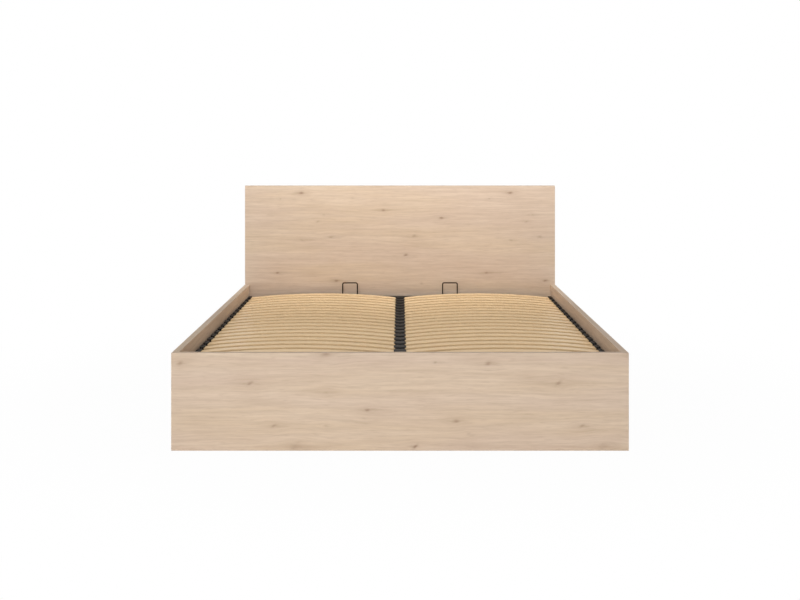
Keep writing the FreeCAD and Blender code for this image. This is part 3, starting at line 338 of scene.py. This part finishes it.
def slatFinish():
    low, high, half, middle, rise, radius = slatBow()
    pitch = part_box("slat_row_02")[0].y - low.y
    lacquer = {"specularIorLevel": 0.35, "coatWeight": 0.1, "coatRoughness": 0.3}
    finish = Finish("slatBeech", roughness=slatWood["roughness"], **lacquer)
    x, y, z = finish.place()
    facesX, facesY, facesZ = finish.facing()
    offset = abs(x) - middle
    sag = offset * offset * (0.5 / radius)
    depth = (z - high.z + sag) / -slatPlan["thick"]  # 0 on the upper face, 1 on the lower
    row = finish.node("ShaderNodeMath", {"operation": "FLOOR"}, {0: (y - low.y) / pitch})
    side = x > 0
    slat = finish.vector(row, side)
    own = finish.node("ShaderNodeTexWhiteNoise", {"noise_dimensions": "2D"}, {"Vector": slat})
    grain = finish.noise(finish.vector(x * 0.6 + own * 30, y * 60, z * 60))
    fine = finish.noise(finish.vector(x * 4 + own * 9, y * 640, z * 640))
    flecks = finish.noise(finish.vector(x * 45, y * 900), detail=1.0)
    colour = finish.mix(finish.spread(grain, 0.3, 0.7, 0, 0.4), slatWood["pale"], slatWood["warm"])
    colour = finish.mix(finish.spread(own, 0, 1, 0, 0.8, smooth=False), colour, slatWood["warm"])
    colour = finish.mix(finish.spread(fine, 0.5, 0.8, 0, 0.12), colour, slatWood["dark"])
    colour = finish.mix(finish.spread(flecks, 0.66, 0.78, 0, 0.06), colour, slatWood["dark"])
    edge = finish.spread(facesZ, 0.35, 0.75, 1, 0)
    turned = finish.spread(abs((depth * slatWood["veneers"] / 2) % 1 - 0.5), 0.22, 0.28, 0.45, 1)
    ply = finish.mix(turned, slatWood["dark"], slatWood["edge"])
    seam = finish.spread(abs((depth * slatWood["veneers"]) % 1 - 0.5), 0.42, 0.48, 0, 0.7)
    colour = finish.mix(edge, colour, finish.mix(seam, ply, slatWood["glue"]))
    finish.shine(baseColor=colour)
    finish.bump(fine + grain * 0.5, 0.04, 0.0002)
    return finish.material


meshLimits = {
    "samePlace": 0.0001,  # metres within which two places count as one
    "aligned": 0.9,  # how far a direction lies along an axis to count as along it
    "merge": 0.00002,
}


def deselectAll():
    bpy.ops.object.select_all(action="DESELECT")


def makeActive(piece):
    deselectAll()
    piece.select_set(True)
    bpy.context.view_layer.objects.active = piece


def settle(piece):
    # the place goes into the mesh, so that the object sits at the origin
    makeActive(piece)
    bpy.ops.object.transform_apply(location=True, rotation=True, scale=True)


def addBlock(name, low, high):
    deselectAll()
    middle = [(a + b) / 2 for a, b in zip(low, high)]
    bpy.ops.mesh.primitive_cube_add(size=1, location=middle)
    block = bpy.context.object
    block.name = name
    block.scale = [b - a for a, b in zip(low, high)]
    settle(block)
    return block


def pickFaces(piece, test):
    # leaves the piece in edit mode with the faces that pass the test selected
    makeActive(piece)
    bpy.ops.object.mode_set(mode="EDIT")
    bpy.ops.mesh.select_mode(type="FACE")
    bpy.ops.mesh.select_all(action="DESELECT")
    bpy.ops.object.mode_set(mode="OBJECT")
    for face in piece.data.polygons:
        face.select = test(face.center, face.normal)
    bpy.ops.object.mode_set(mode="EDIT")


def pickEdges(piece, test):
    makeActive(piece)
    bpy.ops.object.mode_set(mode="EDIT")
    bpy.ops.mesh.select_mode(type="EDGE")
    bpy.ops.mesh.select_all(action="DESELECT")
    bpy.ops.object.mode_set(mode="OBJECT")
    points = piece.data.vertices
    for edge in piece.data.edges:
        start, end = (points[k].co for k in edge.vertices)
        edge.select = test((start + end) / 2, (end - start).normalized())
    bpy.ops.object.mode_set(mode="EDIT")


def leaveEdit():
    bpy.ops.object.mode_set(mode="OBJECT")


def cutAt(piece, axis, places):
    # new edges all round the piece where a plane across the axis meets it
    makeActive(piece)
    bpy.ops.object.mode_set(mode="EDIT")
    normal = [float(axis == k) for k in range(3)]
    for place in places:
        bpy.ops.mesh.select_all(action="SELECT")
        bpy.ops.mesh.bisect(plane_co=[place * n for n in normal], plane_no=normal)
    leaveEdit()


def push(piece, test, offset):
    pickFaces(piece, test)
    bpy.ops.mesh.extrude_region_move(TRANSFORM_OT_translate={"value": offset})
    leaveEdit()


def roundEdges(piece, test, radius, segments):
    pickEdges(piece, test)
    bpy.ops.mesh.bevel(offset=radius, segments=segments, affect="EDGES")
    leaveEdit()


def finishMesh(piece, edgeRound, segments=2, sharp=32):
    # small rounding on what is still sharp, then smooth shading
    makeActive(piece)
    rounding = piece.modifiers.new("edgeRound", "BEVEL")
    rounding.width = edgeRound
    rounding.segments = segments
    rounding.limit_method = "ANGLE"
    rounding.angle_limit = math.radians(sharp)
    rounding.use_clamp_overlap = True
    bpy.ops.object.modifier_apply(modifier=rounding.name)
    bpy.ops.object.mode_set(mode="EDIT")
    bpy.ops.mesh.select_all(action="SELECT")
    bpy.ops.mesh.remove_doubles(threshold=meshLimits["merge"])
    bpy.ops.mesh.normals_make_consistent(inside=False)
    leaveEdit()
    bpy.ops.object.shade_smooth_by_angle(angle=math.radians(sharp))


def mirrorAcross(piece):
    makeActive(piece)
    twin = piece.modifiers.new("otherSide", "MIRROR")
    twin.use_axis = (True, False, False)
    twin.use_mirror_merge = False
    bpy.ops.object.modifier_apply(modifier=twin.name)


def copyTo(piece, name, offset):
    makeActive(piece)
    bpy.ops.object.duplicate()
    copy = bpy.context.object
    copy.name = name
    copy.location = offset
    settle(copy)
    return copy


def dress(piece, material, slotName, body, *replaced):
    piece.data.materials.clear()
    piece.data.materials.append(material)
    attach(piece, body)
    if replaced:
        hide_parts(*replaced)


# Slats: the end's outline is spun along the slat's bow
def slatPair():
    low, high, half, middle, rise, radius = slatBow()
    thick = slatPlan["thick"]
    bow = 2 * math.asin(half / radius)
    deselectAll()
    start = Vector((slatPlan["innerEnd"], (low.y + high.y) / 2, low.z + thick / 2))
    bpy.ops.mesh.primitive_plane_add(size=1, location=start, rotation=(0, math.pi / 2 - bow / 2, 0))
    slat = bpy.context.object
    slat.name = "slatPair"
    slat.scale = (thick, high.y - low.y, 1)
    settle(slat)
    pickFaces(slat, lambda centre, normal: True)
    centre = (middle, start.y, start.z + rise - radius)
    bpy.ops.mesh.spin(steps=slatPlan["steps"], angle=-bow, center=centre, axis=(0, 1, 0))
    leaveEdit()
    finishMesh(slat, slatPlan["edgeRound"], 3)
    mirrorAcross(slat)
    return slat


slatMaterial = slatFinish()
slatNames = sorted(name for name in nodes if name.startswith("slat_row_"))
firstSlatY = sum(corner.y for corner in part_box(slatNames[0])) / 2
rowPlaces = [sum(corner.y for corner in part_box(name)) / 2 - firstSlatY for name in slatNames]
rows = [slatPair()]
for k, place in enumerate(rowPlaces[1:], start=2):
    rows.append(copyTo(rows[0], f"slats{k:02d}", (0, place, 0)))
rows[0].name = "slats01"
for row, name in zip(rows, slatNames):
    dress(row, slatMaterial, "beech_slat", "lift_frame", name)
print("slats ready:", len(slatNames), "rows")


# Black moulded plastic, slightly grained
plastic = {"dark": tint(20, 18, 16), "pale": tint(32, 29, 27), "roughness": 0.6}


def plasticFinish():
    finish = Finish("blackPlastic", specularIorLevel=0.18)
    x, y, z = finish.place()
    grain = finish.noise(finish.vector(x, y, z), 900, 2.0)
    cloud = finish.noise(finish.vector(x, y, z), 14, 2.0)
    finish.shine(baseColor=finish.mix(finish.spread(cloud, 0.35, 0.7), plastic["dark"], plastic["pale"]))
    rough = plastic["roughness"]
    finish.shine(roughness=finish.spread(grain, 0.3, 0.7, rough - 0.08, rough + 0.1))
    finish.bump(grain, 0.25, 0.0002)
    return finish.material


plasticMaterial = plasticFinish()
holderPlan = {
    "length": 0.062,
    "foot": 0.0057,
    "roof": 0.0042,
    "web": 0.018,
    "play": 0.0003,
    "tongue": ((0.0018, 0.92, 0.85), (0.0016, 0.82, 0.8), (0.0013, 0.62, 0.75)),  # reach, width, thickness
    "sideTongue": ((0.0012, 0.94, 0.8),),
    "corner": 0.003,
    "outerCorner": 0.008,
    "valley": 0.008,  # between the two roofs of a centre holder
    "valleyDepth": 0.0015,
    "roofRound": 0.002,
    "sideWidth": 0.0165,
    "edgeRound": 0.0007,
}
slatLow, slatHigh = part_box(slatNames[0])
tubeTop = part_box("centre_beam")[1].z
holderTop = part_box("centre_slat_holders")[1].z
pocketHalf = (slatHigh.y - slatLow.y) / 2 + holderPlan["play"]
pocketLow = tubeTop + holderPlan["foot"]
pocketHigh = holderTop - holderPlan["roof"]


def holderBlock(name, left, right):
    # a block on the tube with the cuts that its pockets and tongues need
    half = holderPlan["length"] / 2
    block = addBlock(name, (left, firstSlatY - half, tubeTop), (right, firstSlatY + half, holderTop))
    root = pocketHalf - holderPlan["corner"]
    cutAt(block, 1, [firstSlatY + y for y in (-pocketHalf, -root, root, pocketHalf)])
    cutAt(block, 2, [pocketLow, pocketHigh])
    return block


def inPocket(centre):
    return abs(centre.y - firstSlatY) < pocketHalf and pocketLow < centre.z < pocketHigh


def atRoot(centre):
    return abs(centre.y - firstSlatY) < pocketHalf - holderPlan["corner"] and centre.z > pocketHigh


def shapeHolder(block, side, faceX, depth, tongue):
    # a pocket for the slat's end and a tongue over it that gets narrower and thinner, on one side
    def onSide(centre, normal):
        return normal.x * side > meshLimits["aligned"] and abs(centre.x - faceX) < meshLimits["samePlace"]

    push(block, lambda c, n: onSide(c, n) and inPocket(c), (-side * depth, 0, 0))
    pickFaces(block, lambda c, n: onSide(c, n) and atRoot(c))
    for reach, width, thickness in tongue:
        bpy.ops.mesh.extrude_region_move(TRANSFORM_OT_translate={"value": (side * reach, 0, 0)})
        bpy.ops.transform.resize(value=(1, width, thickness))
    leaveEdit()


def atHolderEnd(place):
    return abs(abs(place.y - firstSlatY) - holderPlan["length"] / 2) < meshLimits["samePlace"]


def atHolderTop(place):
    return place.z > holderTop - meshLimits["samePlace"]


def roundRoof(block):
    def roofEnd(middle, direction):
        return abs(direction.x) > meshLimits["aligned"] and atHolderEnd(middle) and atHolderTop(middle)

    roundEdges(block, roofEnd, holderPlan["roofRound"], 3)


def roundUprights(block, faceX, radius):
    def upright(middle, direction):
        corner = atHolderEnd(middle) and abs(middle.x - faceX) < meshLimits["samePlace"]
        return abs(direction.z) > meshLimits["aligned"] and corner

    roundEdges(block, upright, radius, 4)


def centreHolder():
    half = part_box("centre_beam")[1].x
    block = holderBlock("centreHolder", -half, half)
    valley = holderPlan["valley"] / 2
    cutAt(block, 0, [-valley, valley])

    def inValley(centre, normal):
        return normal.z > meshLimits["aligned"] and atHolderTop(centre) and abs(centre.x) < valley

    push(block, inValley, (0, 0, -holderPlan["valleyDepth"]))
    roundRoof(block)
    for side in (-1, 1):
        shapeHolder(block, side, side * half, half - holderPlan["web"] / 2, holderPlan["tongue"])
        roundUprights(block, side * half, holderPlan["corner"])
    finishMesh(block, holderPlan["edgeRound"])
    return block


def sideHolder():
    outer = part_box("side_slat_holders")[1].x
    inner = outer - holderPlan["sideWidth"]
    block = holderBlock("sideHolder", inner, outer)
    roundRoof(block)
    shapeHolder(block, -1, inner, slatHigh.x + holderPlan["play"] - inner, holderPlan["sideTongue"])
    roundUprights(block, outer, holderPlan["outerCorner"])
    roundUprights(block, inner, holderPlan["corner"])
    finishMesh(block, holderPlan["edgeRound"])
    mirrorAcross(block)
    return block


for model, nodeName in ((centreHolder(), "centre_slat_holders"), (sideHolder(), "side_slat_holders")):
    stem = model.name
    model.name = stem + "01"
    holders = [model]
    for k, place in enumerate(rowPlaces[1:], start=2):
        holders.append(copyTo(model, f"{stem}{k:02d}", (0, place, 0)))
    for holder in holders:
        dress(holder, plasticMaterial, "black_plastic", "lift_frame", nodeName)
print("slat holders ready")


# Finishes of the carried-over pieces
metals = {
    "tube": tint(24, 23, 23),
    "tubeDust": tint(40, 38, 37),
    "wire": tint(26, 12, 4),
    "wireWorn": tint(34, 18, 8),
    "zinc": tint(176, 180, 184),
    "zincDark": tint(128, 132, 138),
    "rod": tint(205, 207, 210),
}
others = {
    "pine": tint(222, 188, 140),
    "pineDark": tint(188, 140, 92),
    "floor": tint(196, 170, 138),
    "floorDark": tint(168, 140, 110),
    "rubber": tint(30, 30, 31),
}


def powderCoat(name, base, worn, shine):
    finish = Finish(name, specularIorLevel=shine)
    x, y, z = finish.place()
    peel = finish.noise(finish.vector(x, y, z), 650, 2.0, 0.6)
    dust = finish.noise(finish.vector(x, y, z), 9, 3.0)
    finish.shine(baseColor=finish.mix(finish.spread(dust, 0.45, 0.8, 0, 0.6), base, worn))
    finish.shine(roughness=finish.spread(dust, 0.3, 0.8, 0.36, 0.55))
    finish.bump(peel, 0.3, 0.0003)
    return finish.material


def zincPlate():
    finish = Finish("zincSteel", metallic=1.0)
    x, y, z = finish.place()
    grains = {"Vector": finish.vector(x, y, z), "Scale": 160.0}
    spangle = finish.node("ShaderNodeTexVoronoi", inputs=grains, output=1)
    tone = finish.node("ShaderNodeRGBToBW", inputs={0: spangle})
    haze = finish.noise(finish.vector(x, y, z), 60, 3.0)
    share = finish.spread(tone, 0.2, 0.9, 0.1, 0.7)
    finish.shine(baseColor=finish.mix(share, metals["zinc"], metals["zincDark"]))
    finish.shine(roughness=finish.spread(haze, 0.3, 0.7, 0.28, 0.45))
    finish.bump(haze, 0.1, 0.0002)
    return finish.material


def polishedRod():
    finish = Finish("polishedSteel", metallic=1.0)
    x, y, z = finish.place()
    lines = finish.noise(finish.vector(x * 3, y * 900, z * 900))
    finish.shine(baseColor=metals["rod"], roughness=finish.spread(lines, 0.3, 0.7, 0.08, 0.2))
    return finish.material


def pineWood():
    finish = Finish("pineBatten", roughness=0.6)
    x, y, z = finish.place()
    wave = finish.noise(finish.vector(x * 8, y * 1.5, z * 8))
    rings = finish.noise(finish.vector(x * 160 + wave * 4, y * 2, z * 110))
    fine = finish.noise(finish.vector(x * 900, y * 20, z * 900))
    colour = finish.mix(finish.spread(rings, 0.42, 0.66, 0, 0.8), others["pine"], others["pineDark"])
    colour = finish.mix(finish.spread(fine, 0.55, 0.8, 0, 0.4), colour, others["pineDark"])
    finish.shine(baseColor=colour)
    finish.bump(fine, 0.25, 0.0003)
    return finish.material


def fibreBoard():
    finish = Finish("floorBoard", roughness=0.72)
    x, y, z = finish.place()
    specks = finish.noise(finish.vector(x, y, z), 420, 3.0, 0.7)
    cloud = finish.noise(finish.vector(x, y, z), 6, 3.0)
    colour = finish.mix(finish.spread(cloud, 0.3, 0.7, 0, 0.5), others["floor"], others["floorDark"])
    colour = finish.mix(finish.spread(specks, 0.5, 0.75, 0, 0.5), colour, others["floorDark"])
    finish.shine(baseColor=colour)
    finish.bump(specks, 0.2, 0.0002)
    return finish.material


def rubber():
    finish = Finish("blackRubber", roughness=0.8)
    x, y, z = finish.place()
    grain = finish.noise(finish.vector(x, y, z), 1200, 2.0)
    finish.shine(baseColor=finish.mix(grain, others["rubber"], metals["tubeDust"]))
    finish.bump(grain, 0.3, 0.0002)
    return finish.material


def wear(material, *names):
    for name in names:
        nodes[name].data.materials.clear()
        nodes[name].data.materials.append(material)


for name, material in boardFinishes.items():
    wear(material, name)
steelMaterial = powderCoat("blackSteel", metals["tube"], metals["tubeDust"], 0.35)
wireMaterial = powderCoat("blackWire", metals["wire"], metals["wireWorn"], 0.01)
zincMaterial = zincPlate()
wear(steelMaterial, "frame_tube_left", "frame_tube_right", "head_tube", "foot_tube")
wear(steelMaterial, "centre_beam", "cross_tubes")
wear(wireMaterial, "mattress_stop_left", "mattress_stop_right")
wear(plasticMaterial, "tube_plugs", "stop_bushes")
wear(zincMaterial, "corner_brackets", "wood_screws", "lift_plate_bolts", "frame_bar_bolts")
wear(zincMaterial, "lift_plate_pins", "frame_bar_pins")
for side in ("left", "right"):
    wear(steelMaterial, f"lift_plate_{side}", f"rear_arm_{side}", f"front_arm_{side}", f"frame_bar_{side}")
    wear(steelMaterial, f"gas_spring_cylinder_{side}")
rodMaterial = polishedRod()
wear(rodMaterial, "gas_spring_rod_left", "gas_spring_rod_right")
pineMaterial = pineWood()
wear(pineMaterial, "rest_battens", "floor_bearers")
floorMaterial = fibreBoard()
wear(floorMaterial, "storage_floor_left", "storage_floor_right")
rubberMaterial = rubber()
wear(rubberMaterial, "rest_buffers")
print("carried-over pieces dressed")


# Camera, level and in line with the bed
camera = {"place": (0, -5.279, 1.124), "lens": 52.785, "shiftY": -0.199, "clipEnd": 200}
bpy.ops.object.camera_add(location=camera["place"], rotation=(math.pi / 2, 0, 0))
eye = bpy.context.object
eye.data.lens = camera["lens"]
eye.data.shift_y = camera["shiftY"]
eye.data.clip_end = camera["clipEnd"]
bpy.context.scene.camera = eye

# Soft studio light: a high panel in front, a ceiling over the slats, a small panel before the headboard,
# strips at mid height and low in front, low ones at both sides and behind, and an even sky
lights = {
    "frontPanel": {"place": (-1.5, -8.0, 7.0), "aim": (0, 0, 0.4), "size": (5, 3), "power": 228},
    "ceiling": {"place": (0, 0.2, 5.0), "aim": (0, 0.2, 0), "size": (3.5, 2), "power": 56},
    "headPanel": {"place": (0.1, 0.55, 1.65), "aim": (0.1, 1.0, 1.5), "size": (2.2, 0.35), "power": 14.5},
    "frontStrip": {"place": (-0.4, -5.2, 1.15), "aim": (0, 0, 0.4), "size": (4.5, 0.9), "power": 56},
    "lowFront": {"place": (-0.4, -4.4, 0.3), "aim": (0, 0, 0.25), "size": (4.5, 0.5), "power": 29},
    "lowLeft": {"place": (-6.5, 0, 0.3), "aim": (0, 0, 0.25), "size": (4.5, 0.5), "power": 140},
    "lowRight": {"place": (6.5, 0, 0.3), "aim": (0, 0, 0.25), "size": (4.5, 0.5), "power": 140},
    "lowBack": {"place": (0, 4.2, 0.5), "aim": (0, 1.0, 0.4), "size": (1.6, 0.9), "power": 55},
}
skyLight = 0.2
for name, plan in lights.items():
    bpy.ops.object.light_add(type="AREA", location=plan["place"])
    lamp = bpy.context.object
    lamp.name = name
    lamp.data.shape = "RECTANGLE"
    lamp.data.size, lamp.data.size_y = plan["size"]
    lamp.data.energy = plan["power"]
    lamp.visible_camera = False
    lamp.rotation_euler = (Vector(plan["aim"]) - Vector(plan["place"])).to_track_quat("-Z", "Y").to_euler()

# The world and the floor are white where the camera sees them, and the floor keeps the shadow
background = {"floor": tint(232, 232, 232), "size": 60, "nearWhite": 0.97, "near": 0.9, "far": 2.4}
white = (1, 1, 1, 1)
world = bpy.data.worlds.new("studio")
bpy.context.scene.world = world
world.use_nodes = True
sky = NodePlan(world.node_tree)
paper = world.node_tree.nodes["Background"]
sky.feed(paper.inputs["Color"], white)
sky.feed(paper.inputs["Strength"], sky.seenStraight() * (1 - skyLight) + skyLight)

deselectAll()
bpy.ops.mesh.primitive_plane_add(size=background["size"])
floor = bpy.context.object
floor.name = "studioFloor"
ground = Finish("studioFloor", baseColor=background["floor"], roughness=0.9, specularIorLevel=0.0)
glow = ground.node("ShaderNodeEmission", inputs={"Color": white, "Strength": 1.0})
x, y, z = ground.place()
away = (x * x + y * y) ** 0.5
whiter = ground.spread(away, background["near"], background["far"], background["nearWhite"], 1)
lit = Wire(ground, ground.surface.outputs[0])
mixed = ground.node("ShaderNodeMixShader", inputs={0: ground.seenStraight() * whiter, 1: lit, 2: glow})
ground.feed(ground.tree.nodes["Material Output"].inputs["Surface"], mixed)
floor.data.materials.append(ground.material)
bpy.context.scene.view_settings.view_transform = "Standard"
print("camera, light and floor ready")
